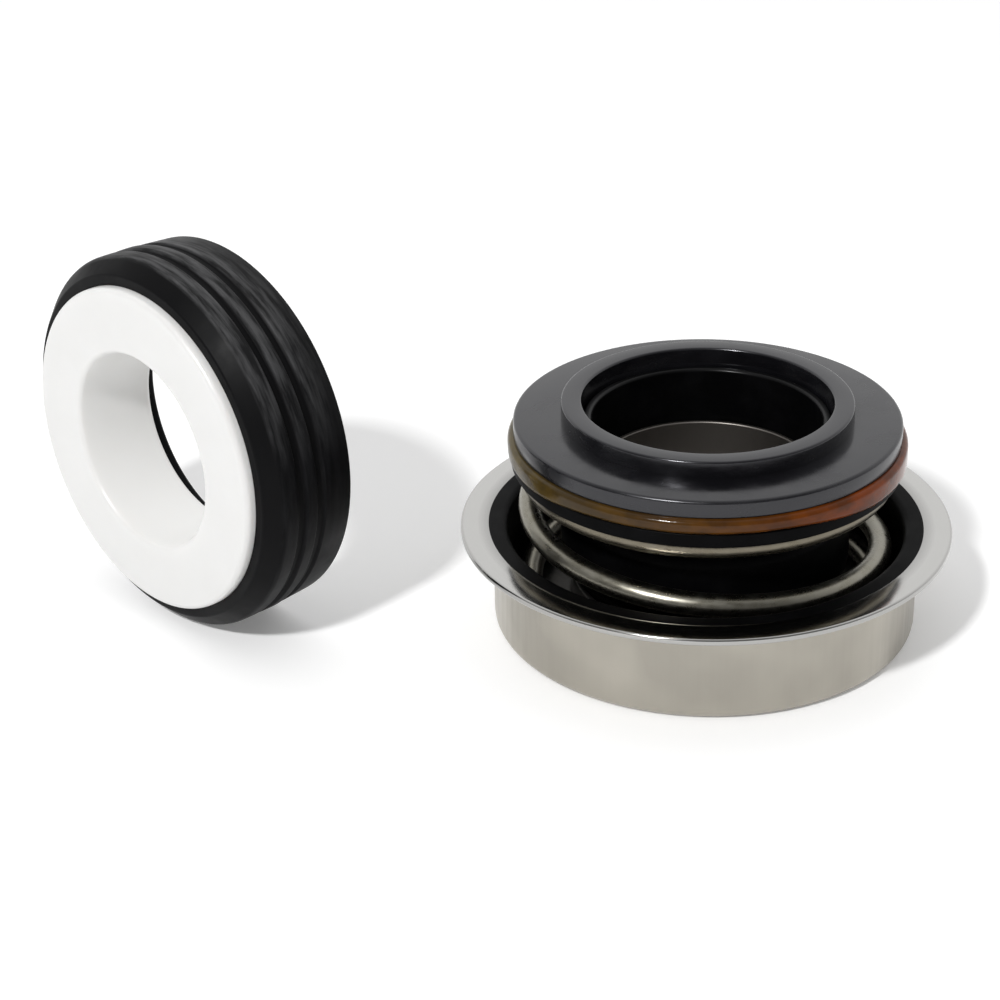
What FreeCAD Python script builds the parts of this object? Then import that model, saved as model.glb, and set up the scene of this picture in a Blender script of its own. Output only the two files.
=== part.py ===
import FreeCAD, Part
import math
import os
from FreeCAD import Vector

# Component shaft seal for a pump: a spring loaded head in a flanged steel cup,
# and the ceramic seat in its rubber cup that the head's carbon washer runs on.
# All sizes are in millimetres. The origin is on the head's axis, in the plane
# of the flange's underside, and +Z points out of the washer's sealing face.
# The head stands on the floor of its cup. The seat stands on its rim beside it.

# Sizes that the pump gives
shaft_diameter = 15.875
head_press_diameter = 36.5
seat_press_diameter = 33.2

# Flanged cup, drawn from one sheet, with a hub in its floor
sheet = 0.6
flange_diameter = 42.1
cup_depth = 8.6
mouth_bend = 1.3
floor_bend = 1.0
hub_height = 14.1
hub_shaft_clearance = 1.06
rim_round = 0.15
hub_rim_round = 0.36

# Moulded rubber bellows, with its lining and floor in the cup
lining_wall = 0.65
lining_wrap_degrees = 65
lining_floor_round = 0.24
lining_rim_round = 0.58
rubber_floor = 1.0
bellows_wall = 1.3
tail_height = 3.0
neck_height = 1.2
bulge_depth = 1.5
bulge_slope = 1.5
collar_hub_gap = 0.1
collar_wall = 0.8
collar_recess = 1.6
head_disc = 0.8
head_boss = 1.5
boss_spring_gap = 0.4
lip_spring_gap = 0.1
lip_wall = 0.45
lip_drop = 0.45
lip_round = 0.2
lip_edge = 0.15
head_round = 0.4
neck_round = 0.8
bulge_round = 1.2
neck_round_inside = 0.6
bulge_round_inside = 0.8
collar_round_inside = 0.32
collar_round = 0.36

# Tail ring, a pressed angle ring between the rubber floor and the spring
tail_ring_sheet = 0.5
tail_ring_gap = 0.3
tail_ring_height = 2.6
tail_ring_bend = 0.4
tail_ring_edge = 0.15

# Coil spring with closed ends, each a flat dead turn
wire_diameter = 2.0
spring_length = 13.3
spring_lining_gap = 0.95
active_turns = 1.7
dead_turns = 0.7
turn_ease = 0.07
tip_angle = 85
bends_per_turn = 6

# Carbon washer and the amber sealing ring that bonds it to the rubber
washer_shoulder_overhang = 0.35
shoulder_thickness = 1.5
nose_height = 1.5
nose_wall = 1.75
washer_collar_gap = 0.1
washer_edge = 0.2
shoulder_edge = 0.3
bond_height = 1.3
bond_width = 1.1
bond_overhang = 0.5
bond_round = 0.5

# Ceramic seat in its ribbed rubber cup
ceramic_thickness = 7.8
ceramic_shaft_clearance = 0.71
ceramic_edge = 0.5
seat_rubber_wall = 2.25
seat_rubber_length = 8.8
seat_back_wall = 1.9
seat_back_step = 2.0
seat_back_round = 0.4
seat_inner_round = 0.2
seat_lip_wall = 0.95
seat_lip_round = 0.3
seat_lip_edge = 0.15

# Bands round the rubber cup, from its back: a wide land, narrow ribs and a front land
back_land_width = 3.1
lead_in_depth = 0.28
lead_in_end = 0.1
rib_count = 1
rib_width = 1.2
groove_width = 0.8
groove_depth = 0.35
groove_flank = 0.1
band_round = 0.15
front_land_width = 1.5
front_land_round = 0.7

# Where the seat stands: the middle of its back face, and its turn from -Y to -X
seat_back_x = -41.55
seat_back_y = 2.7
seat_turn = 40.9

# How close two points count as one, and two edges as joined
point_tolerance = 1e-6
sewing_tolerance = 1e-5

# Radii, outwards from the shaft
hub_bore = shaft_diameter / 2 + hub_shaft_clearance
hub_outer = hub_bore + sheet
tail_outer = hub_outer + bellows_wall
bulge_outer = tail_outer + bulge_depth
collar_inner = hub_outer + collar_hub_gap
collar_outer = collar_inner + collar_wall
washer_bore = collar_outer + washer_collar_gap
nose_outer = washer_bore + nose_wall

# Radii, inwards from the housing
press_radius = head_press_diameter / 2
wall_inner = press_radius - sheet
lining_inner = wall_inner - lining_wall
spring_outer = lining_inner - spring_lining_gap
spring_mean = spring_outer - wire_diameter / 2
spring_inner = spring_outer - wire_diameter
shoulder_outer = spring_outer + washer_shoulder_overhang
bond_outer = shoulder_outer + bond_overhang
bond_inner = bond_outer - bond_width
ceramic_bore = shaft_diameter / 2 + ceramic_shaft_clearance
seat_crest = seat_press_diameter / 2
ceramic_outer = seat_crest - seat_rubber_wall

# Heights, upwards from the outside of the cup's floor
cup_floor = -cup_depth
floor_top = cup_floor + sheet
rubber_top = floor_top + rubber_floor
spring_bottom = rubber_top + tail_ring_sheet
spring_top = spring_bottom + spring_length
washer_bottom = spring_top + head_disc
shoulder_bottom = washer_bottom + bond_height
shoulder_top = shoulder_bottom + shoulder_thickness
nose_top = shoulder_top + nose_height


def corner_arc(before, corner, after, radius):
    """Start, middle and end of the arc that rounds a corner of an outline."""
    to_before = (before - corner).normalize()
    to_after = (after - corner).normalize()
    half_angle = to_before.getAngle(to_after) / 2
    reach = radius / math.tan(half_angle)
    inwards = (to_before + to_after).normalize()
    middle = corner + inwards * (radius / math.sin(half_angle) - radius)
    return corner + to_before * reach, middle, corner + to_after * reach


def turned(corners):
    """Solid turned about Z from corners of (radius, height) or (radius, height, rounding)."""
    points = [Vector(corner[0], 0, corner[1]) for corner in corners]
    edges = []
    pen = None
    first = None
    for i, corner in enumerate(corners):
        start = end = points[i]
        rounding = corner[2] if len(corner) == 3 else 0
        if rounding > 0:
            after = points[(i + 1) % len(points)]
            start, middle, end = corner_arc(points[i - 1], points[i], after, rounding)
        if pen is not None and pen.distanceToPoint(start) > point_tolerance:
            edges.append(Part.LineSegment(pen, start).toShape())
        if rounding > 0:
            edges.append(Part.Arc(start, middle, end).toShape())
        first = first or start
        pen = end
    if pen.distanceToPoint(first) > point_tolerance:
        edges.append(Part.LineSegment(pen, first).toShape())
    face = Part.Face(Part.Wire(edges))
    return face.revolve(Vector(0, 0, 0), Vector(0, 0, 1), 360)


def shell():
    """Flanged cup: flange, press wall, floor and hub are one drawn sheet."""
    return turned([
        (flange_diameter / 2, 0, rim_round),
        (press_radius, 0, mouth_bend - sheet),
        (press_radius, cup_floor, floor_bend),
        (hub_bore, cup_floor, floor_bend),
        (hub_bore, cup_floor + hub_height, rim_round),
        (hub_outer, cup_floor + hub_height, hub_rim_round),
        (hub_outer, floor_top, floor_bend - sheet),
        (wall_inner, floor_top, floor_bend - sheet),
        (wall_inner, sheet, mouth_bend),
        (flange_diameter / 2, sheet, rim_round),
    ])


def bellows():
    """One rubber moulding: collar, head, bellows wall, tail, floor and lining."""
    wrap = math.radians(lining_wrap_degrees)
    bend_centre = sheet - mouth_bend
    lining_top = bend_centre + mouth_bend * math.sin(wrap)
    lining_edge = wall_inner + mouth_bend * (1 - math.cos(wrap))
    wrap_corner = bend_centre + mouth_bend * math.tan(wrap / 2)
    tail_top = rubber_top + tail_height
    neck_bottom = spring_top - head_boss - neck_height
    lip_inner = spring_outer + lip_spring_gap
    lip_outer = lip_inner + lip_wall
    boss_outer = spring_inner - boss_spring_gap
    return turned([
        (collar_inner, nose_top - collar_recess, collar_round_inside),
        (collar_outer, nose_top - collar_recess, collar_round),
        (collar_outer, washer_bottom),
        (lip_outer, washer_bottom, lip_round),
        (lip_outer, spring_top - lip_drop, lip_round),
        (lip_inner, spring_top - lip_drop, lip_edge),
        (lip_inner, spring_top),
        (boss_outer, spring_top),
        (boss_outer, spring_top - head_boss, head_round),
        (tail_outer, spring_top - head_boss, head_round),
        (tail_outer, neck_bottom, neck_round),
        (bulge_outer, neck_bottom - bulge_slope, bulge_round),
        (bulge_outer, tail_top + bulge_slope, bulge_round),
        (tail_outer, tail_top, neck_round),
        (tail_outer, rubber_top, tail_ring_bend),
        (lining_inner, rubber_top, lining_floor_round),
        (lining_inner, lining_top, lining_rim_round),
        (lining_edge, lining_top),
        (wall_inner, wrap_corner, mouth_bend),
        (wall_inner, floor_top, floor_bend - sheet),
        (hub_outer, floor_top, floor_bend - sheet),
        (hub_outer, tail_top, neck_round_inside),
        (bulge_outer - bellows_wall, tail_top + bulge_slope, bulge_round_inside),
        (bulge_outer - bellows_wall, neck_bottom - bulge_slope, bulge_round_inside),
        (collar_inner, neck_bottom, neck_round_inside),
    ])


def tail_ring():
    """Pressed angle ring that clamps the bellows' tail and carries the spring."""
    ring_outer = lining_inner - tail_ring_gap
    upright_outer = tail_outer + tail_ring_sheet
    return turned([
        (tail_outer, rubber_top, tail_ring_bend),
        (ring_outer, rubber_top),
        (ring_outer, spring_bottom, tail_ring_edge),
        (upright_outer, spring_bottom, tail_ring_bend),
        (upright_outer, rubber_top + tail_ring_height, tail_ring_edge),
        (tail_outer, rubber_top + tail_ring_height, tail_ring_edge),
    ])


def eased(share):
    """Share of the drop done after a share of the active turns, soft at both ends."""
    curve = 2 * turn_ease * (1 - turn_ease)
    if share < turn_ease:
        return share ** 2 / curve
    if share > 1 - turn_ease:
        return 1 - (1 - share) ** 2 / curve
    return (share - turn_ease / 2) / (1 - turn_ease)


def coil_point(turn):
    """Point on the wire's centre line, with turns counted from the upper tip."""
    share = min(max((turn - dead_turns) / active_turns, 0), 1)
    drop = (spring_length - wire_diameter) * eased(share)
    angle = math.radians(tip_angle + 360 * turn)
    x = spring_mean * math.cos(angle)
    y = spring_mean * math.sin(angle)
    return Vector(x, y, spring_top - wire_diameter / 2 - drop)


def coil_direction(turn):
    """Direction of the wire at a turn."""
    step = 1e-4
    return (coil_point(turn + step) - coil_point(turn - step)).normalize()


def bent_wire(ring, start, corner, end):
    """Skin of one bend of wire, from the circle at its start, and the circle at its end."""
    to_start = start - corner
    to_end = end - corner
    half_angle = to_start.getAngle(to_end) / 2
    inwards = (to_start + to_end).normalize()
    centre = corner + inwards * (to_start.Length / math.cos(half_angle))
    axis = to_end.cross(to_start).normalize()
    turn = 180 - 2 * math.degrees(half_angle)
    skin = ring.revolve(centre, axis, turn)
    end_ring = ring.copy()
    end_ring.rotate(centre, axis, turn)
    return skin, end_ring


def spring():
    """Left hand coil of round wire, bent arc by arc, with a flat dead turn at each end."""
    turns = active_turns + 2 * dead_turns
    steps = math.ceil(turns * bends_per_turn)
    ring = Part.Circle(coil_point(0), coil_direction(0), wire_diameter / 2).toShape()
    skins = [Part.Face(Part.Wire(ring))]
    for i in range(steps):
        start = coil_point(turns * i / steps)
        end = coil_point(turns * (i + 1) / steps)
        leaving = coil_direction(turns * i / steps)
        arriving = coil_direction(turns * (i + 1) / steps)
        chord = end - start
        along = chord.dot(leaving + arriving)
        spread = 2 * (1 - leaving.dot(arriving))
        reach = (math.sqrt(along ** 2 + spread * chord.dot(chord)) - along) / spread
        first_corner = start + leaving * reach
        second_corner = end - arriving * reach
        middle = (first_corner + second_corner) * 0.5
        for arc in ((start, first_corner, middle), (middle, second_corner, end)):
            skin, ring = bent_wire(ring, *arc)
            skins.append(skin)
    skins.append(Part.Face(Part.Wire(ring)))
    closed = Part.Compound(skins)
    closed.sewShape(sewing_tolerance)
    return Part.Solid(closed)


def carbon_washer():
    """Carbon washer: a flat shoulder, and a raised nose with the sealing face."""
    return turned([
        (washer_bore, washer_bottom, washer_edge),
        (bond_inner, washer_bottom),
        (bond_inner, shoulder_bottom),
        (shoulder_outer, shoulder_bottom, washer_edge),
        (shoulder_outer, shoulder_top, shoulder_edge),
        (nose_outer, shoulder_top, shoulder_edge),
        (nose_outer, nose_top, washer_edge),
        (washer_bore, nose_top, washer_edge),
    ])


def bond_ring():
    """Amber ring that fills the step under the washer's shoulder and bulges a little."""
    return turned([
        (bond_inner, washer_bottom),
        (bond_outer, washer_bottom, bond_round),
        (bond_outer, shoulder_bottom, bond_round),
        (bond_inner, shoulder_bottom),
    ])


def ceramic_seat():
    """Ceramic ring, its back against the rubber cup and its face standing proud."""
    front = seat_back_wall + ceramic_thickness
    return turned([
        (ceramic_bore, seat_back_wall, ceramic_edge),
        (ceramic_outer, seat_back_wall, ceramic_edge),
        (ceramic_outer, front, ceramic_edge),
        (ceramic_bore, front, ceramic_edge),
    ])


def groove(back):
    """Corners of a groove that starts this far in front of the cup's back."""
    front = back + groove_width
    return [
        (seat_crest - groove_depth, back + groove_flank, groove_flank),
        (seat_crest - groove_depth, front - groove_flank, groove_flank),
        (seat_crest, front + groove_flank, band_round),
    ]


def seat_cup():
    """Rubber cup round the ceramic. Its bands grip the bore, and the back one leads it in."""
    back_bore = ceramic_bore + seat_back_step
    corners = [
        (ceramic_outer, seat_rubber_length, seat_lip_edge),
        (ceramic_outer, seat_back_wall, ceramic_edge),
        (back_bore, seat_back_wall, seat_inner_round),
        (back_bore, 0, seat_back_round),
        (seat_crest - lead_in_depth, 0, seat_back_round),
        (seat_crest - lead_in_end, back_land_width - groove_flank, band_round),
    ]
    edge = back_land_width
    for _ in range(rib_count):
        corners.extend(groove(edge))
        edge += groove_width + rib_width
        corners.append((seat_crest, edge - groove_flank, band_round))
    corners.extend(groove(edge))
    edge += groove_width + front_land_width
    corners.append((seat_crest, edge, front_land_round))
    corners.append((ceramic_outer + seat_lip_wall, seat_rubber_length, seat_lip_round))
    return turned(corners)


def seat_placement():
    """Stands the seat on its rim beside the head, with its face turned to the front."""
    stand = FreeCAD.Rotation(Vector(1, 0, 0), 90)
    turn = FreeCAD.Rotation(Vector(0, 0, 1), -seat_turn)
    back_centre = Vector(seat_back_x, seat_back_y, cup_floor + seat_crest)
    return FreeCAD.Placement(back_centre, turn.multiply(stand))


nodes = {
    "shell": shell(),
    "bellows": bellows(),
    "tail_ring": tail_ring(),
    "spring": spring(),
    "carbon_washer": carbon_washer(),
    "bond_ring": bond_ring(),
    "ceramic_seat": ceramic_seat(),
    "seat_cup": seat_cup(),
}
for name in ("ceramic_seat", "seat_cup"):
    nodes[name].Placement = seat_placement()

os.makedirs("parts", exist_ok=True)
for name, shape in nodes.items():
    shape.exportStep(f"parts/{name}.step")
    print(name, "valid" if shape.isValid() else "NOT VALID", len(shape.Solids), round(shape.Volume, 2))
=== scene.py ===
# %% [markdown]
# # A pump shaft seal in two halves
#
# This lesson dresses a component shaft seal. One half is the head: a carbon washer on
# rubber bellows and a coil spring, held in a flanged steel cup. The other half is the
# seat: a white ceramic ring in a ribbed rubber cup, standing on its rim beside the head.
#
# Nearly every piece is round, so the lesson leans on one way of working: draw half a
# section as a chain of points, round its corners, and spin it about the axis, as a lathe
# would. The frame that comes from the construction gives the sizes and places.

# %% Load the frame
import math

import bmesh
import bpy
from mathutils import Matrix, Vector


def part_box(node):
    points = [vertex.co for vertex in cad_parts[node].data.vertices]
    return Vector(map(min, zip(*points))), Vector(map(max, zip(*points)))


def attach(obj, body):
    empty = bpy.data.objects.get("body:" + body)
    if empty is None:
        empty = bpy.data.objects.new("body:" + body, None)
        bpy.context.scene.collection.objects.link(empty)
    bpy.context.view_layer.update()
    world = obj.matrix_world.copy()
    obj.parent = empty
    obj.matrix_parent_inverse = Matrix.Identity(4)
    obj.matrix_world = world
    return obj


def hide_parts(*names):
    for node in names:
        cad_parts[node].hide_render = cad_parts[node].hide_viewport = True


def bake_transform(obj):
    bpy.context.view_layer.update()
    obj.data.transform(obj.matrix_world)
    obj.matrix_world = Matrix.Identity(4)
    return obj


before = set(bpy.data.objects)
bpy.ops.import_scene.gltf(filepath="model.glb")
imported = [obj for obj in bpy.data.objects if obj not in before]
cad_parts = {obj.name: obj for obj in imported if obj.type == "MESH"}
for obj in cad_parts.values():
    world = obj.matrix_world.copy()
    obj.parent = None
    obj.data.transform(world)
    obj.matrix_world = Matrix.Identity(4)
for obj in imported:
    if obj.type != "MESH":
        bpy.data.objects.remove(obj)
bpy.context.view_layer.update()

print("the construction's nodes:", sorted(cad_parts))

# %% [markdown]
# ## Sizes
#
# Blender counts in metres and a seal is measured in millimetres, so lengths are written
# in millimetres here and scaled once. Outer sizes are read from the frame's own boxes.
# What a box can't show, such as a wall or a bend, is a named value. Two points nearer
# than SAME_POINT millimetres count as one.

# %% Read the main sizes from the frame
MM = 0.001
SAME_POINT = 1e-3


def low(node):
    """Lowest corner of a node's box, in millimetres."""
    return Vector(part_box(node)[0]) / MM


def high(node):
    """Highest corner of a node's box, in millimetres."""
    return Vector(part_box(node)[1]) / MM


cup_floor = low("shell").z
flange_radius = high("shell").x
hub_top = high("shell").z
spring_bottom = low("spring").z
spring_top = high("spring").z
spring_outer = high("spring").x
washer_bottom = low("carbon_washer").z
nose_top = high("carbon_washer").z
shoulder_radius = high("carbon_washer").x
bond_radius = high("bond_ring").x
bond_top = high("bond_ring").z
free_height = nose_top - cup_floor
print(f"cup floor {cup_floor:.2f}, washer nose {nose_top:.2f}, free height {free_height:.2f} mm")

# %% Name the sizes that no box shows
shaft_radius = 15.875 / 2
press_radius = 18.25
sheet = 0.6
sheared_edge = 0.2
mouth_bend = 1.3
floor_bend = 1.0
lining_wall = 0.65
rubber_floor = 1.0
bellows_wall = 1.3
collar_wall = 0.8
wire = 2.0
nose_wall = 1.75
shoulder_thickness = 1.5

shaft_room = 1.06
easy_fit = 0.1
hub_bore = shaft_radius + shaft_room
hub_outer = hub_bore + sheet
collar_inner = hub_outer + easy_fit
collar_outer = collar_inner + collar_wall
washer_bore = collar_outer + easy_fit
wall_inner = press_radius - sheet
lining_inner = wall_inner - lining_wall
floor_top = cup_floor + sheet
rubber_top = floor_top + rubber_floor

# %% [markdown]
# ## Helpers for working by hand
#
# Operators act on whatever is selected, and the frame arrives selected. So every piece
# starts by deselecting everything. Points are then picked by where they are.

# %% Select and apply
def nothing_selected():
    """Leave edit mode's and the frame's selections behind."""
    bpy.ops.object.select_all(action="DESELECT")


def select_points(piece, wanted):
    """In edit mode, select only the vertices that the test accepts, in millimetres."""
    bpy.ops.mesh.select_all(action="DESELECT")
    mesh = bmesh.from_edit_mesh(piece.data)
    count = 0
    for vertex in mesh.verts:
        if wanted(vertex.co / MM):
            vertex.select = True
            count += 1
    mesh.select_flush(True)
    bmesh.update_edit_mesh(piece.data)
    return count


def apply_place(piece):
    """Put the place and turn of a piece into its mesh."""
    nothing_selected()
    piece.select_set(True)
    bpy.context.view_layer.objects.active = piece
    bpy.ops.object.transform_apply(location=True, rotation=True, scale=True)


# %% [markdown]
# ## Turning a section
#
# A chain of points is drawn in the plane of X and Z: a small plane is merged to one
# point, and the point is extruded from corner to corner. Each corner that the real
# piece rounds gets a vertex bevel. The bevel's offset runs along the edges, so a radius
# is turned into that distance with the corner's own angle. Spinning the closed chain a
# full turn about Z makes the solid.

# %% Draw, round and spin a section
def draw_chain(name, corners):
    """A closed chain of edges through corners of (radius, height, rounding)."""
    nothing_selected()
    bpy.ops.mesh.primitive_plane_add(size=MM, location=(0, 0, 0))
    piece = bpy.context.object
    piece.name = name
    bpy.ops.object.mode_set(mode="EDIT")
    bpy.ops.mesh.select_all(action="SELECT")
    bpy.ops.mesh.merge(type="CENTER")
    first = corners[0]
    bpy.ops.transform.translate(value=(first[0] * MM, 0, first[1] * MM))
    for before, corner in zip(corners, corners[1:]):
        step = ((corner[0] - before[0]) * MM, 0, (corner[1] - before[1]) * MM)
        bpy.ops.mesh.extrude_vertices_move(TRANSFORM_OT_translate={"value": step})
    ends = (first, corners[-1])
    select_points(piece, lambda p: any(math.hypot(p.x - e[0], p.z - e[1]) < SAME_POINT for e in ends))
    bpy.ops.mesh.edge_face_add()
    return piece


def round_corners(piece, corners, segments):
    """Bevel each corner that has a rounding."""
    for i, corner in enumerate(corners):
        if len(corner) < 3:
            continue
        here = Vector(corner[:2])
        before = Vector(corners[i - 1][:2]) - here
        after = Vector(corners[(i + 1) % len(corners)][:2]) - here
        reach = corner[2] / math.tan(before.angle(after) / 2)
        select_points(piece, lambda p: math.hypot(p.x - here.x, p.z - here.y) < SAME_POINT)
        bpy.ops.mesh.bevel(offset_type="OFFSET", offset=reach * MM, segments=segments, affect="VERTICES")


def turn_section(name, corners, steps=144, segments=5):
    """A turned piece: its section drawn, rounded and spun about Z, facing outwards."""
    piece = draw_chain(name, corners)
    round_corners(piece, corners, segments)
    bpy.ops.mesh.select_all(action="SELECT")
    bpy.ops.mesh.spin(steps=steps, angle=2 * math.pi, center=(0, 0, 0), axis=(0, 0, 1))
    bpy.ops.mesh.select_all(action="SELECT")
    bpy.ops.mesh.remove_doubles(threshold=SAME_POINT * MM)
    bpy.ops.mesh.normals_make_consistent(inside=False)
    bpy.ops.object.mode_set(mode="OBJECT")
    bpy.ops.object.shade_smooth_by_angle(angle=math.radians(32))
    print(f"{name}: {len(piece.data.polygons)} faces")
    return piece


# %% [markdown]
# ## Helpers for materials
#
# Every finish is a small network of nodes that reads Object coordinates, so it stays
# with the piece. Because all pieces share the frame's origin, a pattern on Z is a
# pattern along the head's axis. One scale serves all: coordinates are first turned into
# millimetres, so a plain noise has features about a millimetre wide. A pattern is made
# coarser or finer, or drawn out along an axis, by stretching its coordinates.

# %% Start a material and measure in millimetres
def set_socket(material, socket, value):
    """Set one of the shader's own sockets to a value that is the same all over."""
    material.node_tree.nodes["Principled BSDF"].inputs[socket].default_value = value


def new_material(name, colour, roughness, metallic=0.0):
    """A Principled material and its coordinates in millimetres."""
    material = bpy.data.materials.new(name)
    material.use_nodes = True
    set_socket(material, "Base Color", (*colour, 1))
    set_socket(material, "Roughness", roughness)
    set_socket(material, "Metallic", metallic)
    nodes = material.node_tree.nodes
    coordinates = nodes.new("ShaderNodeTexCoord")
    scaled = nodes.new("ShaderNodeMapping")
    scaled.name = "millimetres"
    scaled.inputs["Scale"].default_value = (1 / MM, 1 / MM, 1 / MM)
    material.node_tree.links.new(coordinates.outputs["Object"], scaled.inputs["Vector"])
    return material


def stretched(material, scale, turn=(0, 0, 0), centre=(0, 0, 0)):
    """The millimetre coordinates, moved to a centre, turned, then scaled by axis."""
    nodes = material.node_tree.nodes
    links = material.node_tree.links
    moved = nodes.new("ShaderNodeMapping")
    moved.vector_type = "TEXTURE"
    moved.inputs["Location"].default_value = centre
    moved.inputs["Rotation"].default_value = turn
    links.new(nodes["millimetres"].outputs["Vector"], moved.inputs["Vector"])
    scaled = nodes.new("ShaderNodeMapping")
    scaled.inputs["Scale"].default_value = scale
    links.new(moved.outputs["Vector"], scaled.inputs["Vector"])
    return scaled.outputs["Vector"]


def noise(material, vector, detail, rough=0.55):
    """A noise texture's value, with features about one unit of the vector wide."""
    node = material.node_tree.nodes.new("ShaderNodeTexNoise")
    node.inputs["Scale"].default_value = 1.0
    node.inputs["Detail"].default_value = detail
    node.inputs["Roughness"].default_value = rough
    material.node_tree.links.new(vector, node.inputs["Vector"])
    return node.outputs["Fac"]


def ramp(material, value, stops):
    """A colour ramp over a value, with stops of (position, colour or grey)."""
    node = material.node_tree.nodes.new("ShaderNodeValToRGB")
    elements = node.color_ramp.elements
    while len(elements) < len(stops):
        elements.new(0.5)
    for element, (position, colour) in zip(elements, stops):
        element.position = position
        grey = isinstance(colour, (int, float))
        element.color = (colour, colour, colour, 1) if grey else (*colour, 1)
    material.node_tree.links.new(value, node.inputs["Fac"])
    return node.outputs["Color"]


def between(material, value, low_mm, high_mm):
    """A share that goes from 0 to 1 while the value goes from low to high."""
    share = material.node_tree.nodes.new("ShaderNodeMapRange")
    share.inputs["From Min"].default_value = low_mm
    share.inputs["From Max"].default_value = high_mm
    material.node_tree.links.new(value, share.inputs["Value"])
    return share.outputs["Result"]


def along(material, vector, axis, low_mm, high_mm):
    """The share of the way between two places on an axis of a vector."""
    parts = material.node_tree.nodes.new("ShaderNodeSeparateXYZ")
    material.node_tree.links.new(vector, parts.inputs["Vector"])
    return between(material, parts.outputs[axis], low_mm, high_mm)


def along_axis(material, axis, low_mm, high_mm):
    """The same on an axis of the frame, in millimetres."""
    whole = material.node_tree.nodes["millimetres"].outputs["Vector"]
    return along(material, whole, axis, low_mm, high_mm)


def from_line(material, flat, near_mm, far_mm):
    """The share of the way between two lengths of a vector that has no height."""
    length = material.node_tree.nodes.new("ShaderNodeVectorMath")
    length.operation = "LENGTH"
    material.node_tree.links.new(flat, length.inputs[0])
    return between(material, length.outputs["Value"], near_mm, far_mm)


def from_axis(material, near_mm, far_mm):
    """The same for distances from the head's axis."""
    return from_line(material, stretched(material, (1, 1, 0)), near_mm, far_mm)


def mixed(material, share, first, second):
    """A mix of two colours. Either may be an output or a plain colour."""
    node = material.node_tree.nodes.new("ShaderNodeMix")
    node.data_type = "RGBA"
    material.node_tree.links.new(share, node.inputs["Factor"])
    for socket, colour in ((node.inputs["A"], first), (node.inputs["B"], second)):
        if isinstance(colour, tuple):
            socket.default_value = (*colour, 1)
        else:
            material.node_tree.links.new(colour, socket)
    return node.outputs["Result"]


def feed(material, output, socket):
    """Link an output to one of the shader's sockets."""
    shader = material.node_tree.nodes["Principled BSDF"]
    material.node_tree.links.new(output, shader.inputs[socket])


def add_bump(material, height, strength, distance):
    """Bump from a height, with the distance in millimetres."""
    node = material.node_tree.nodes.new("ShaderNodeBump")
    node.inputs["Strength"].default_value = strength
    node.inputs["Distance"].default_value = distance * MM
    material.node_tree.links.new(height, node.inputs["Height"])
    feed(material, node.outputs["Normal"], "Normal")


def dress(piece, material):
    """Give a piece its one material."""
    piece.data.materials.clear()
    piece.data.materials.append(material)


# %% [markdown]
# ## The steel cup
#
# The cup is one sheet of stainless steel, drawn deep: a flange, a press wall, a floor
# and a hub that the shaft passes through. Drawing leaves soft bends everywhere and fine
# vertical scuffs on the wall. The flange is painted brighter than the wall, as painted light.
# Painted shade darkens the flange at its bend and darkens the hub, and the flange is also darker at its
# sheared edge.

# %% Turn the cup
cup = turn_section("steel_cup", [
    (flange_radius, 0, sheared_edge),
    (press_radius, 0, mouth_bend - sheet),
    (press_radius, cup_floor, floor_bend),
    (hub_bore, cup_floor, floor_bend),
    (hub_bore, hub_top, 0.15),
    (hub_outer, hub_top, sheet * 0.6),
    (hub_outer, floor_top, floor_bend - sheet),
    (wall_inner, floor_top, floor_bend - sheet),
    (wall_inner, sheet, mouth_bend),
    (flange_radius, sheet, sheared_edge),
], steps=192)


# %% Finish it as drawn stainless steel
def drawn_steel(name, wall, flange, roughness):
    """Stainless steel, satin and warm on the drawn wall, sharper on the flange and painted brighter
    there, with painted shade at the flange's bend and on the hub.
    """
    material = new_material(name, wall, roughness, 1.0)
    lines = noise(material, stretched(material, (2.2, 2.2, 0.1)), 3.0)
    cloud = noise(material, stretched(material, (0.12, 0.12, 0.12)), 2.0)
    height = along_axis(material, "Z", -1.2, 0.1)
    darker = tuple(c * 0.90 for c in wall)
    lighter = tuple(c * 1.08 for c in wall)
    dull = ramp(material, cloud, [(0.35, darker), (0.65, lighter)])
    # Painted shade: the flange is darkened near its bend into the wall, and it is also darker at its
    # sheared edge.
    across = from_axis(material, press_radius, flange_radius)
    bend_shade_and_edge = ramp(material, across, [(0.1, 0.25), (0.5, 1.0), (0.9, 1.0), (1.0, 0.4)])
    flange_bend_shade = tuple(c * 0.58 for c in flange)
    flange_lit_and_bend_shaded = mixed(material, bend_shade_and_edge, flange_bend_shade, flange)
    # Painted light: the flange's colour is brighter than the wall's, though both are the same steel.
    outside = mixed(material, height, dull, flange_lit_and_bend_shaded)
    # Painted shade: the hub is given a dark colour.
    hub = from_axis(material, hub_outer, hub_outer + 0.5)
    hub_painted_shade = (0.20, 0.185, 0.17)
    feed(material, mixed(material, hub, hub_painted_shade, outside), "Base Color")
    satin = ramp(material, lines, [(0.35, roughness - 0.05), (0.65, roughness + 0.05)])
    polished = mixed(material, height, satin, (0.15, 0.15, 0.15))
    feed(material, mixed(material, hub, (0.42, 0.42, 0.42), polished), "Roughness")
    add_bump(material, cloud, 0.6, 0.25)
    return material


# Painted light: the flange colour is brighter than the wall colour.
dress(cup, drawn_steel("drawn_stainless", (0.405, 0.382, 0.335), (0.55, 0.545, 0.53), 0.33))
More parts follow.
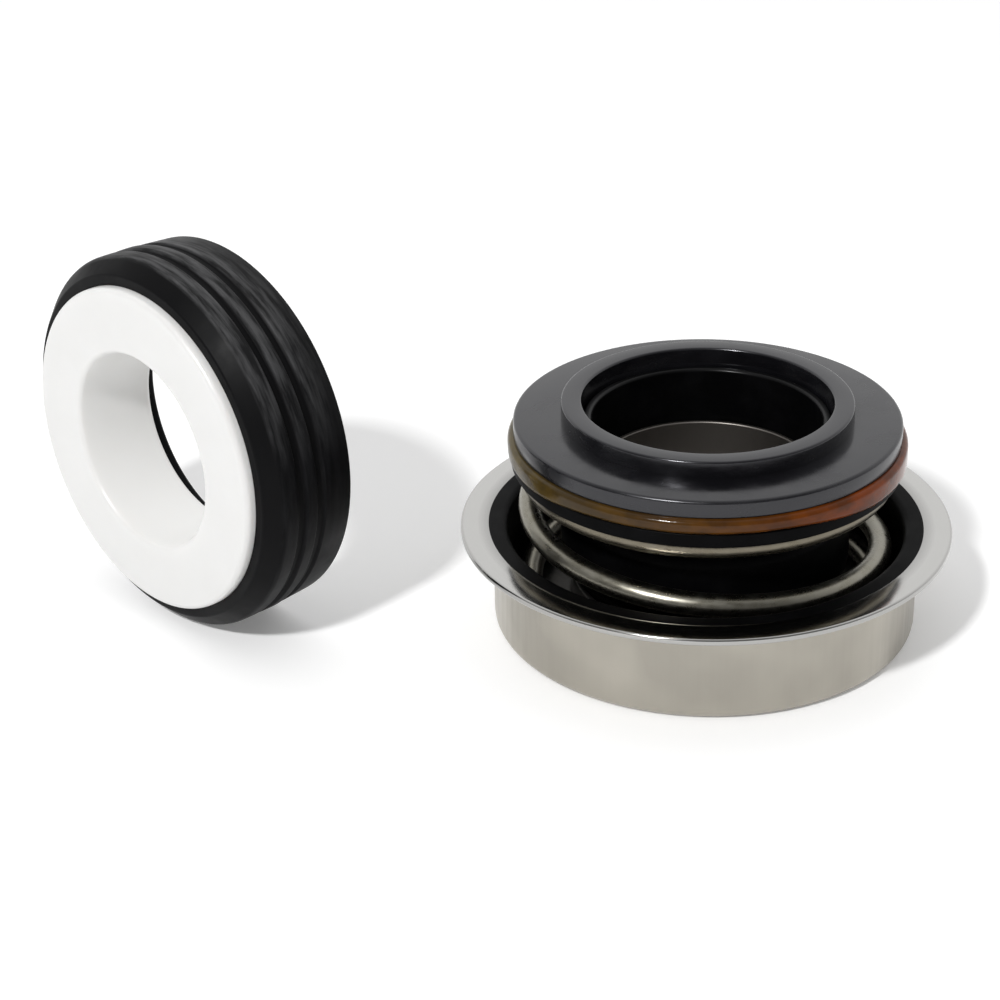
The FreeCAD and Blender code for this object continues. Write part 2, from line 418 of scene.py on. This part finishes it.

# %% [markdown]
# ## The rubber bellows
#
# The bellows are one moulding. A collar stands inside the washer, a flat head carries
# the washer, a soft bulge lets the length change, and the tail spreads over the cup's
# floor and up its wall as a lining. It is modelled at its free length.

# %% Turn the bellows
bend_centre = sheet - mouth_bend
wrap = math.radians(76)
lining_top = bend_centre + mouth_bend * math.sin(wrap)
lining_edge = wall_inner + mouth_bend * (1 - math.cos(wrap))
tail_height = 3.0
bulge = 1.5
neck_depth = 2.7
lip_size = 0.45
boss_room = 0.4
boss_depth = 1.5
collar_sunk = 1.6
fold = 0.8
bulge_round = 1.2
tail_outer = hub_outer + bellows_wall
tail_top = rubber_top + tail_height
bulge_outer = tail_outer + bulge
neck_bottom = spring_top - neck_depth
lip_inner = spring_outer + easy_fit
lip_outer = lip_inner + lip_size
lip_bottom = spring_top - lip_size
boss_outer = spring_outer - wire - boss_room
boss_bottom = spring_top - boss_depth
collar_top = nose_top - collar_sunk
bulge_top = neck_bottom - bulge
bulge_bottom = tail_top + bulge

bellows = turn_section("rubber_bellows", [
    (collar_inner, collar_top, collar_wall * 0.4),
    (collar_outer, collar_top, collar_wall * 0.45),
    (collar_outer, washer_bottom),
    (lip_outer, washer_bottom, 0.2),
    (lip_outer, lip_bottom, 0.2),
    (lip_inner, lip_bottom, 0.15),
    (lip_inner, spring_top),
    (boss_outer, spring_top),
    (boss_outer, boss_bottom, 0.4),
    (tail_outer, boss_bottom, 0.4),
    (tail_outer, neck_bottom, fold),
    (bulge_outer, bulge_top, bulge_round),
    (bulge_outer, bulge_bottom, bulge_round),
    (tail_outer, tail_top, fold),
    (tail_outer, rubber_top, 0.4),
    (lining_inner, rubber_top, 0.24),
    (lining_inner, lining_top, lining_wall * 0.9),
    (lining_edge, lining_top),
    (wall_inner, bend_centre + mouth_bend * math.tan(wrap / 2), mouth_bend),
    (wall_inner, floor_top, floor_bend - sheet),
    (hub_outer, floor_top, floor_bend - sheet),
    (hub_outer, tail_top, 0.6),
    (bulge_outer - bellows_wall, bulge_bottom, fold),
    (bulge_outer - bellows_wall, bulge_top, fold),
    (collar_inner, neck_bottom, 0.6),
])


# %% Finish it as moulded rubber
def moulded_rubber(name, colour, roughness, shine):
    """Black rubber with a faint bloom and the mould's fine grain, and little shine."""
    material = new_material(name, colour, roughness)
    set_socket(material, "Specular IOR Level", shine)
    bloom = noise(material, stretched(material, (0.30, 0.30, 0.30)), 4.0, 0.6)
    grain = noise(material, stretched(material, (2.5, 2.5, 2.5)), 3.0)
    pale = tuple(c * 2.2 for c in colour)
    feed(material, ramp(material, bloom, [(0.45, colour), (0.75, pale)]), "Base Color")
    satin = ramp(material, bloom, [(0.3, roughness - 0.06), (0.75, roughness + 0.10)])
    feed(material, satin, "Roughness")
    add_bump(material, grain, 0.08, 0.03)
    return material


bellows_rubber = moulded_rubber("bellows_rubber", (0.0015, 0.0015, 0.0017), 0.45, 0.04)
dress(bellows, bellows_rubber)

# %% [markdown]
# The collar's rim stands in the washer's opening, where fingers and the shaft brush it,
# so it is polished there. A thin clear coat is fed by height, so that only the rim has it.

# %% Polish the collar's rim
rim = along_axis(bellows_rubber, "Z", collar_top - 0.35, collar_top - 0.05)
feed(bellows_rubber, ramp(bellows_rubber, rim, [(0.0, 0.0), (1.0, 0.32)]), "Coat Weight")
set_socket(bellows_rubber, "Coat Roughness", 0.24)

# %% [markdown]
# ## The tail ring
#
# A pressed angle ring lies on the rubber floor. Its upright holds the bellows' tail
# against the hub, and the spring stands on its flat. It sits deep in the cup, in shade, and its steel is
# painted dark as painted shade.

# %% Turn the tail ring
ring_sheet = spring_bottom - rubber_top
ring_room = 0.3
upright_height = 2.6
ring_outer = lining_inner - ring_room
upright_top = rubber_top + upright_height
tail_ring = turn_section("tail_angle_ring", [
    (tail_outer, rubber_top, 0.4),
    (ring_outer, rubber_top),
    (ring_outer, spring_bottom, 0.15),
    (tail_outer + ring_sheet, spring_bottom, 0.4),
    (tail_outer + ring_sheet, upright_top, 0.15),
    (tail_outer, upright_top, 0.15),
])
# Painted shade: the ring's steel is given a dark colour, for the shade deep in the cup.
dress(tail_ring, drawn_steel("stainless_painted_shade", (0.11, 0.106, 0.10), (0.11, 0.106, 0.10), 0.50))

# %% [markdown]
# ## The coil spring
#
# The spring is a left hand coil of round wire with a flat dead turn at each end. A
# screw modifier would give one even pitch, so the wire's circle is spun a few degrees
# at a time instead, and lowered after each small spin by as much as the coil falls
# there. The fall eases in and out of the dead turns, as a coiling machine leaves it.

# %% Coil the wire
active_turns = 1.7
dead_turns = 0.7
tip_angle = 85
easing = 0.07
spring_mean = spring_outer - wire / 2
SPINS_PER_TURN = 60


def fallen(turn):
    """How far the coil has fallen after so many turns, in millimetres."""
    share = min(max((turn - dead_turns) / active_turns, 0), 1)
    if share < easing:
        done = share ** 2 / (2 * easing * (1 - easing))
    elif share > 1 - easing:
        done = 1 - (1 - share) ** 2 / (2 * easing * (1 - easing))
    else:
        done = (share - easing / 2) / (1 - easing)
    return done * (spring_top - spring_bottom - wire)


def coil_wire(name):
    """Round wire coiled by many small spins, each lowered by the coil's fall."""
    nothing_selected()
    start = (spring_mean * MM, 0, (spring_top - wire / 2) * MM)
    bpy.ops.mesh.primitive_circle_add(vertices=24, radius=wire / 2 * MM, location=start,
                                      rotation=(math.pi / 2, 0, 0))
    piece = bpy.context.object
    piece.name = name
    apply_place(piece)
    bpy.ops.object.mode_set(mode="EDIT")
    bpy.ops.mesh.select_all(action="SELECT")
    spins = round((active_turns + 2 * dead_turns) * SPINS_PER_TURN)
    for i in range(spins):
        bpy.ops.mesh.spin(steps=1, angle=-2 * math.pi / SPINS_PER_TURN, center=(0, 0, 0), axis=(0, 0, 1))
        fall = fallen((i + 1) / SPINS_PER_TURN) - fallen(i / SPINS_PER_TURN)
        bpy.ops.transform.translate(value=(0, 0, -fall * MM))
    bpy.ops.mesh.select_all(action="DESELECT")
    bpy.ops.mesh.select_non_manifold()
    bpy.ops.mesh.fill_holes(sides=0)
    bpy.ops.mesh.select_all(action="SELECT")
    bpy.ops.mesh.normals_make_consistent(inside=False)
    bpy.ops.object.mode_set(mode="OBJECT")
    bpy.ops.object.shade_smooth_by_angle(angle=math.radians(40))
    piece.rotation_euler = (0, 0, math.radians(tip_angle))
    apply_place(piece)
    print(f"{name}: {len(piece.data.polygons)} faces")
    return piece


coil = coil_wire("coil_spring")


# %% Finish it as drawn wire
def drawn_wire():
    """Warm grey wire with a soft shine and faint marks, and painted shade darkening its top turn under
    the washer.
    """
    material = new_material("drawn_wire", (0.26, 0.247, 0.205), 0.29, 1.0)
    marks = noise(material, stretched(material, (0.9, 0.9, 2.4)), 3.0)
    drawn = ramp(material, marks, [(0.35, (0.235, 0.222, 0.18)), (0.65, (0.29, 0.277, 0.235))])
    # Painted shade: the top turn, under the washer, is given a darker colour.
    top_turn_painted_shade = ramp(material, marks, [(0.35, (0.162, 0.144, 0.108)), (0.65, (0.200, 0.180, 0.140))])
    top_turn = along_axis(material, "Z", spring_top - 1.5 * wire, spring_top - wire)
    feed(material, mixed(material, top_turn, drawn, top_turn_painted_shade), "Base Color")
    feed(material, ramp(material, marks, [(0.3, 0.25), (0.7, 0.33)]), "Roughness")
    return material


dress(coil, drawn_wire())

# %% [markdown]
# ## The carbon washer
#
# The washer is pressed and baked carbon. Its flat shoulder carries a raised nose, and
# the nose's top is the sealing face, lapped flat, with an even sheen where the rest varies. The
# edges are only broken, so the section keeps small roundings, and the nose meets the
# shoulder in a sharp corner.

# %% Turn the washer
nose_outer = washer_bore + nose_wall
shoulder_bottom = bond_top
shoulder_top = shoulder_bottom + shoulder_thickness
bond_depth = 1.1
bond_inner = bond_radius - bond_depth
washer = turn_section("carbon_ring", [
    (washer_bore, washer_bottom, 0.15),
    (bond_inner, washer_bottom),
    (bond_inner, shoulder_bottom),
    (shoulder_radius, shoulder_bottom, 0.1),
    (shoulder_radius, shoulder_top, 0.3),
    (nose_outer, shoulder_top),
    (nose_outer, nose_top, 0.2),
    (washer_bore, nose_top, 0.2),
], steps=192)


# %% Finish it as moulded carbon
def moulded_carbon():
    """Charcoal carbon: a satin sheen over near black, sharper on the lapped nose."""
    material = new_material("moulded_carbon", (0.005, 0.005, 0.006), 0.26)
    set_socket(material, "IOR", 1.56)
    set_socket(material, "Specular Tint", (0.95, 0.95, 1.0, 1))
    pores = noise(material, stretched(material, (2.6, 2.6, 2.6)), 4.0, 0.6)
    cloud = noise(material, stretched(material, (0.22, 0.22, 0.5)), 3.0)
    black = ramp(material, cloud, [(0.35, (0.004, 0.004, 0.005)), (0.7, (0.008, 0.008, 0.0095))])
    feed(material, black, "Base Color")
    satin = ramp(material, cloud, [(0.4, 0.16), (0.62, 0.30)])
    lapped = along_axis(material, "Z", nose_top - 0.15, nose_top - 0.05)
    feed(material, mixed(material, lapped, satin, (0.19, 0.19, 0.19)), "Roughness")
    add_bump(material, pores, 0.02, 0.01)
    return material


dress(washer, moulded_carbon())

# %% [markdown]
# ## The amber ring
#
# A sealing compound is run into the step under the washer's shoulder and cures to a
# glossy amber bead. It is never quite even: it swells and thins round the washer, and
# the light finds olive where it is thin and orange where it is thick.

# %% Turn the bead
bead_round = 0.5
bead = turn_section("amber_bead", [
    (bond_inner, washer_bottom),
    (bond_radius, washer_bottom, bead_round),
    (bond_radius, shoulder_bottom, bead_round),
    (bond_inner, shoulder_bottom),
], steps=192, segments=8)

# %% [markdown]
# The bead is pulled down by hand in four places, where the compound ran over the
# rubber's lip. Its top and its inside are hidden first. Proportional editing leaves
# hidden points alone, so only the lower outside edge follows the pull.

# %% Pull the lower edge down
edge_height = 0.62
lip_clear = 0.02
grip = 1.0


def pull_edge(piece, angle_degrees, lift, reach):
    """Move the lower edge at an angle round the bead, fading out over the reach."""
    angle = math.radians(angle_degrees)
    nothing_selected()
    piece.select_set(True)
    bpy.context.view_layer.objects.active = piece
    bpy.ops.object.mode_set(mode="EDIT")
    above = washer_bottom + edge_height
    inside = lip_outer + lip_clear
    select_points(piece, lambda p: p.z > above or math.hypot(p.x, p.y) < inside)
    bpy.ops.mesh.hide(unselected=False)
    there = Vector((bond_radius * math.cos(angle), bond_radius * math.sin(angle)))
    count = select_points(piece, lambda p: (p.xy - there).length < grip)
    bpy.ops.transform.translate(value=(0, 0, lift * MM), use_proportional_edit=True,
                                proportional_edit_falloff="SMOOTH", proportional_size=reach * MM)
    bpy.ops.mesh.reveal(select=False)
    bpy.ops.object.mode_set(mode="OBJECT")
    print(f"{piece.name}: {count} points pulled by {lift} mm at {angle_degrees} degrees")


pulls = ((-28, -0.75, 11), (6, -0.75, 9), (75, -0.5, 9), (205, -0.45, 9))
for angle_degrees, lift, reach in pulls:
    pull_edge(bead, angle_degrees, lift, reach)
lowest = min(vertex.co.z for vertex in bead.data.vertices) / MM
print(f"the bead now reaches down to {lowest:.2f} mm, {washer_bottom - lowest:.2f} mm over the lip")


# %% Finish it as amber compound
def amber():
    """Glossy amber compound, olive on the left where it is thin and orange on the right."""
    material = new_material("amber_compound", (0.10, 0.03, 0.004), 0.14)
    set_socket(material, "Specular IOR Level", 0.2)
    left_end, right_end = -17, 17
    across = along_axis(material, "X", left_end, right_end)
    patches = noise(material, stretched(material, (0.35, 0.35, 0.8)), 3.0)
    clear = ramp(material, across, [(0.0, (0.075, 0.055, 0.014)), (0.14, (0.062, 0.038, 0.008)),
                                    (0.3, (0.066, 0.033, 0.006)), (0.6, (0.085, 0.029, 0.003)),
                                    (0.85, (0.148, 0.028, 0.0015))])
    deep = ramp(material, across, [(0.0, (0.035, 0.026, 0.009)), (0.5, (0.042, 0.018, 0.004)),
                                   (1.0, (0.085, 0.017, 0.002))])
    cleared = ramp(material, patches, [(0.38, 0.0), (0.62, 1.0)])
    feed(material, mixed(material, cleared, deep, clear), "Base Color")
    ripples = noise(material, stretched(material, (0.8, 0.8, 0.8)), 2.0)
    add_bump(material, ripples, 0.25, 0.12)
    return material


dress(bead, amber())

# %% [markdown]
# ## The seat
#
# The seat is modelled about Z as well, from its back face upwards, and then stood on
# its rim: tipped over, turned to its angle and moved to its place beside the head. Its
# ceramic is a plain ring with broken edges, standing a little proud of the rubber.

# %% Turn the ceramic
seat_crest = 16.6
rubber_wall = 2.25
seat_room = 0.71
back_wall = 1.9
ceramic_length = 7.8
broken_edge = 0.5
ceramic_radius = seat_crest - rubber_wall
ceramic_bore = shaft_radius + seat_room
ceramic_front = back_wall + ceramic_length
ceramic = turn_section("seat_ceramic", [
    (ceramic_bore, back_wall, broken_edge),
    (ceramic_radius, back_wall, broken_edge),
    (ceramic_radius, ceramic_front, broken_edge),
    (ceramic_bore, ceramic_front, broken_edge),
], steps=192)

# %% [markdown]
# The rubber grips its bore with three bands: a wide land at the back, which tapers a
# little to lead the cup in, a narrow rib, and a front land that falls off to the lip. A
# function writes the corners of a groove, because the two between the bands are alike.

# %% Turn the ribbed rubber
rubber_length = 8.8
back_step = 2.0
lead_in = 0.28
land_drop = 0.1
lip_width = 0.95
back_bore = ceramic_bore + back_step
back_land = 3.1
groove_width = 0.8
groove_depth = 0.35
flank = 0.1
rib_width = 1.2
front_land = 1.5
rib_back = back_land + groove_width
rib_front = rib_back + rib_width
land_front = rib_front + groove_width + front_land


def groove(back):
    """Corners of a groove that starts this far in front of the cup's back."""
    floor_radius = seat_crest - groove_depth
    return [
        (floor_radius, back + flank, 0.1),
        (floor_radius, back + groove_width - flank, 0.1),
        (seat_crest, back + groove_width + flank, 0.15),
    ]


seat_rubber = turn_section("seat_rubber", [
    (ceramic_radius, rubber_length, 0.15),
    (ceramic_radius, back_wall, broken_edge),
    (back_bore, back_wall, 0.2),
    (back_bore, 0, 0.4),
    (seat_crest - lead_in, 0, 0.4),
    (seat_crest - land_drop, back_land - flank, 0.15),
    *groove(back_land),
    (seat_crest, rib_front - flank, 0.15),
    *groove(rib_front),
    (seat_crest, land_front, 0.7),
    (ceramic_radius + lip_width, rubber_length, 0.3),
], steps=192)

# %% Stand both on the rim
seat_angles = (math.radians(90), 0, -math.radians(40.9))
seat_back = Vector((-41.55, 2.7, cup_floor + seat_crest))


def stand_on_rim(piece):
    """Tip a turned piece over, turn it to the seat's angle and put it in its place."""
    piece.rotation_euler = seat_angles
    piece.location = seat_back * MM
    apply_place(piece)


stand_on_rim(ceramic)
stand_on_rim(seat_rubber)

# %% [markdown]
# The cup's rubber carries a dry bloom that lies in streaks round the ring, because the
# mould was wiped that way. The bloom is painted stronger towards the top, as painted light,
# and the grooves are painted black, as painted shade.

# %% Finish the seat's rubber
def in_seat(material, scale):
    """Millimetre coordinates measured from the seat's back, with Z along the seat's axis."""
    return stretched(material, scale, turn=seat_angles, centre=seat_back)


def streaked_rubber():
    """Black rubber with streaks of grey bloom, painted lighter towards the ring's top as painted light,
    with the grooves painted black as painted shade.
    """
    material = moulded_rubber("seat_cup_rubber", (0.002, 0.002, 0.0023), 0.45, 0.07)
    streaks = noise(material, in_seat(material, (0.22, 0.22, 2.0)), 4.0, 0.6)
    plain = ramp(material, streaks, [(0.38, (0.002, 0.002, 0.0025)), (0.68, (0.008, 0.008, 0.009))])
    bloom_and_painted_light = ramp(material, streaks, [(0.38, (0.011, 0.011, 0.0115)), (0.64, (0.070, 0.070, 0.072))])
    # Painted light: the bloom is made stronger towards the top of the ring, where the light falls.
    top_light_from, top_light_full = 10.5, 22.0
    top = mixed(material, along_axis(material, "Z", top_light_from, top_light_full), plain, bloom_and_painted_light)
    # Painted shade: the grooves between the bands are given a plain black.
    groove_side = seat_crest - 0.30
    band_side = seat_crest - 0.12
    bands = from_line(material, in_seat(material, (1, 1, 0)), groove_side, band_side)
    feed(material, mixed(material, bands, (0.003, 0.003, 0.0034), top), "Base Color")
    return material


dress(seat_rubber, streaked_rubber())


# %% Finish the ceramic
def white_ceramic():
    """Dense ceramic: clean white, the lapped face a touch greyer, the rest painted brighter as painted
    light.
    """
    material = new_material("white_ceramic", (0.67, 0.668, 0.66), 0.3)
    cloud = noise(material, stretched(material, (0.2, 0.2, 0.2)), 3.0)
    lapped = ramp(material, cloud, [(0.3, (0.66, 0.658, 0.648)), (0.7, (0.68, 0.678, 0.67))])
    face = along(material, in_seat(material, (1, 1, 1)), "Z", ceramic_front - 0.5, ceramic_front - 0.1)
    # Painted light: the bore, sides and back are given a brighter white than the face, to lift the
    # shaded bore.
    skin_with_painted_light = (0.775, 0.772, 0.76)
    feed(material, mixed(material, face, skin_with_painted_light, lapped), "Base Color")
    feed(material, ramp(material, cloud, [(0.3, 0.28), (0.7, 0.34)]), "Roughness")
    set_socket(material, "Subsurface Weight", 0.35)
    set_socket(material, "Subsurface Radius", (1.0, 0.95, 0.9))
    set_socket(material, "Subsurface Scale", 1.2 * MM)
    return material


dress(ceramic, white_ceramic())

# %% [markdown]
# ## Tie the pieces to the frame
#
# Most pieces ride on a body. The coil and the bellows ride on none: their place is put
# into their meshes. Each piece is listed with the construction node it stands for and a
# finish of the record.

# %% Ride and replace
for piece, body, node, finish in (
    (cup, "head", "shell", "stainless"),
    (tail_ring, "head", "tail_ring", "stainless_dark"),
    (washer, "washer", "carbon_washer", "carbon"),
    (bead, "washer", "bond_ring", "amber"),
    (ceramic, "seat", "ceramic_seat", "ceramic"),
    (seat_rubber, "seat", "seat_cup", "black_rubber"),
):
    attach(piece, body)
    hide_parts(node)

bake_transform(coil)
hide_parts("spring")
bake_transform(bellows)
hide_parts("bellows")

# %% [markdown]
# ## Floor, light and camera
#
# The photograph is a plain product shot on a ground that burns out to white. A small key
# light, high in front and to the left, lays pale shadows behind the parts and to their
# right. The ground glows a little, as a lit table does, so that it stays white right up
# to them. The camera looks down by about 27 degrees, from 0.2 m, with a long lens.

# %% Lay the floor
ground_size = 3.0
nothing_selected()
bpy.ops.mesh.primitive_plane_add(size=ground_size, location=(0, 0, cup_floor * MM))
floor = bpy.context.object
floor.name = "floor"
ground = bpy.data.materials.new("pale_ground")
ground.use_nodes = True
set_socket(ground, "Base Color", (0.93, 0.93, 0.93, 1))
set_socket(ground, "Roughness", 0.7)
set_socket(ground, "Emission Color", (1, 1, 1, 1))
set_socket(ground, "Emission Strength", 0.16)
dress(floor, ground)


# %% Set the lights
def soft_light(name, place, size, watts, aim=(0, 0, 0)):
    """A square area light, aimed at a point, with its place in metres."""
    nothing_selected()
    bpy.ops.object.light_add(type="AREA", location=place)
    light = bpy.context.object
    light.name = name
    light.data.size = size
    light.data.energy = watts
    towards = Vector(aim) - Vector(place)
    light.rotation_euler = towards.to_track_quat("-Z", "Y").to_euler()
    return light


soft_light("key_front_left", (-0.26, -0.545, 0.575), 0.07, 5.1)
soft_light("fill_overhead", (0.0, 0.0, 0.75), 0.70, 0.2)

# %% [markdown]
# The room is bright behind the parts, where a white backdrop stands, and dark towards
# the camera. Upward faces mirror the backdrop and turn grey, while faces that look at
# the camera stay dark, which is what separates the black pieces in the photograph.

# %% Build the room
world = bpy.data.worlds.new("studio")
world.use_nodes = True
room = world.node_tree
direction = room.nodes.new("ShaderNodeTexCoord")
parts = room.nodes.new("ShaderNodeSeparateXYZ")
room.links.new(direction.outputs["Generated"], parts.inputs["Vector"])
backdrop = room.nodes.new("ShaderNodeMapRange")
backdrop.inputs["From Min"].default_value = -0.5
backdrop.inputs["From Max"].default_value = 0.55
backdrop.inputs["To Min"].default_value = 0.20
backdrop.inputs["To Max"].default_value = 0.98
room.links.new(parts.outputs["Y"], backdrop.inputs["Value"])
room.links.new(backdrop.outputs["Result"], room.nodes["Background"].inputs["Strength"])
room.nodes["Background"].inputs["Color"].default_value = (1, 1, 1, 1)
bpy.context.scene.world = world
bpy.context.scene.view_settings.view_transform = "Standard"

# %% Place the camera
camera_place = Vector((0, -187.6, 97.2)) * MM
yaw = math.radians(-5.39)
pitch = math.radians(26.84)
roll = math.radians(-1.16)
level = math.cos(pitch)
forward = Vector((math.sin(yaw) * level, math.cos(yaw) * level, -math.sin(pitch)))
level_right = Vector((math.cos(yaw), -math.sin(yaw), 0))
level_up = level_right.cross(forward)
right = level_right * math.cos(roll) + level_up * math.sin(roll)
up = level_up * math.cos(roll) - level_right * math.sin(roll)
bpy.ops.object.camera_add()
camera = bpy.context.object
camera.name = "camera"
camera.data.sensor_width = 36
camera.data.lens = 87.8
camera.data.clip_start = 0.01
axes = Matrix((right, up, -forward)).transposed().to_4x4()
camera.matrix_world = Matrix.Translation(camera_place) @ axes
bpy.context.scene.camera = camera
